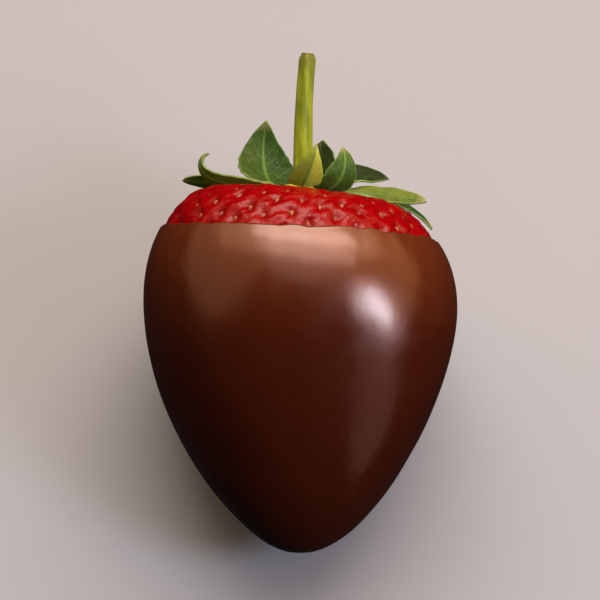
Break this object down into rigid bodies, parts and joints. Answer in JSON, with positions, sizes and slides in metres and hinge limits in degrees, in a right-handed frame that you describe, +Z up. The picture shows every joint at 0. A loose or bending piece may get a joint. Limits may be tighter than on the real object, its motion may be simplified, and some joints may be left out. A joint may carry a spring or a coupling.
{
  "type": "chocolate coated strawberry",
  "caption": "Fresh strawberry dipped in milk chocolate up to its shoulder, with the red shoulder, green calyx leaves and cut stem left bare, lying on its side.",
  "frame": {"origin": "centre of the bounding box at the level of the resting flat", "axes": "+Y runs from the coated tip towards the calyx and the stem, +Z is up and away from the resting flat, +X is to the right seen from the tip"},
  "size_m": [0.045, 0.069, 0.045],
  "materials": {
    "chocolate": "set milk chocolate, smooth with a soft gloss",
    "flesh": "moist red skin with yellow seeds in pits",
    "leaf": "matt green leaf with pale veins and edges",
    "receptacle": "yellow green, matt",
    "stem": "light green stalk, faintly ribbed, with a dry cut end"
  },
  "bodies": {
    "root": {"berry": "flesh", "chocolate_coat": "chocolate", "receptacle": "receptacle", "stem": "stem", "sepal_front": "leaf", "sepal_left": "leaf", "sepal_tall": "leaf", "sepal_rear": "leaf", "sepal_rear_right": "leaf", "sepal_right": "leaf", "sepal_front_right": "leaf", "bract_front_right": "leaf", "bract_far_left": "leaf", "bract_rear_left": "leaf", "bract_rear": "leaf", "bract_low_right": "leaf"}
  },
  "joints": []
}
